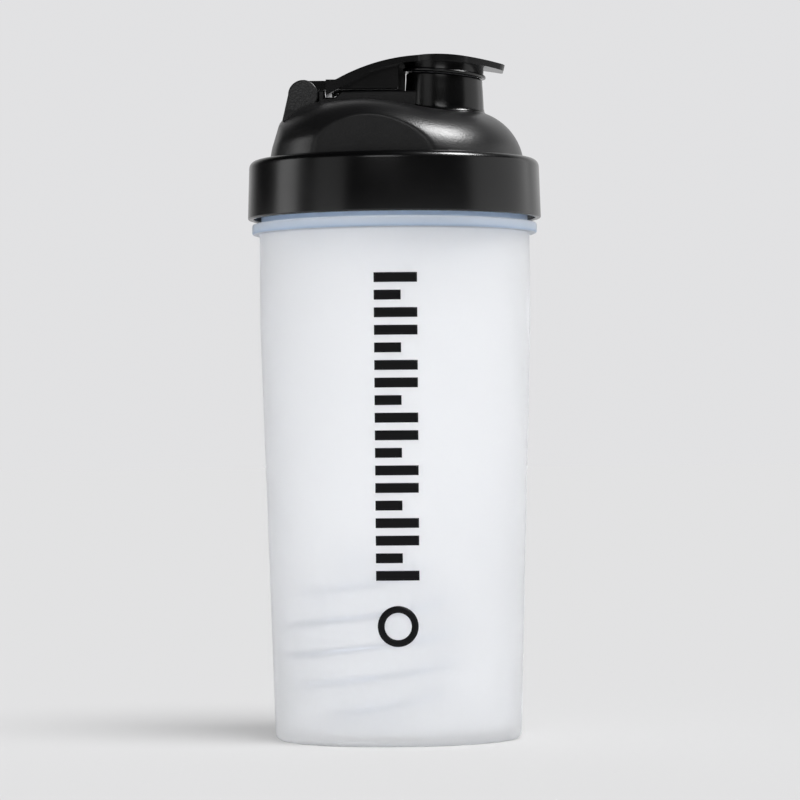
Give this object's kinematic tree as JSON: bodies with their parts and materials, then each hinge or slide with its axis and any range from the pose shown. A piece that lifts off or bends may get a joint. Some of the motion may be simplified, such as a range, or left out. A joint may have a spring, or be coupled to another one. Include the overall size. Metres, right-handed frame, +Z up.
{
  "type": "protein shaker bottle",
  "caption": "Tall drafted translucent tumbler with a black screw lid, a domed top with a round spout, an arched flip cap on a side hinge and a loose wire whisk ball inside.",
  "frame": {"origin": "on the cup's axis, at the surface that the foot ring stands on", "axes": "+Z up along the cup's axis, +X from the hinge towards the spout, +Y away from the printed side"},
  "size_m": [0.096, 0.096, 0.2229],
  "materials": {
    "frosted_plastic": "frosted translucent polypropylene, fine satin outside",
    "black_plastic": "black polypropylene, satin with a fine spark grain on the dome",
    "silicone": "soft matt silicone",
    "steel_wire": "drawn stainless wire"
  },
  "bodies": {
    "cup": {"cup": "frosted_plastic"},
    "seal": {"lid_seal": "silicone"},
    "lid": {"lid": "black_plastic"},
    "cap": {"flip_cap": "black_plastic", "spout_plug": "silicone"},
    "whisk_ball": {"whisk_ball": "steel_wire"}
  },
  "joints": [
    {"name": "lid_rise", "type": "slide", "parent": "cup", "child": "seal", "axis": [0, 0, 1], "range_m": [0, 0.0063]},
    {"name": "lid_turn", "type": "hinge", "parent": "seal", "child": "lid", "pos_m": [0, 0, 0.18], "axis": [0, 0, 1], "range_deg": [0, 450]},
    {"name": "cap_flip", "type": "hinge", "parent": "lid", "child": "cap", "pos_m": [-0.0294, 0, 0.2102], "axis": [0, -1, 0], "range_deg": [0, 165]},
    {"name": "whisk_ball_travel", "type": "slide", "parent": "cup", "child": "whisk_ball", "axis": [0, 0, 1], "range_m": [0, 0.143]}
  ],
  "couplings": [
    {"joint": "lid_rise", "follows": "lid_turn", "m_per_rad": 0.00079577}
  ]
}
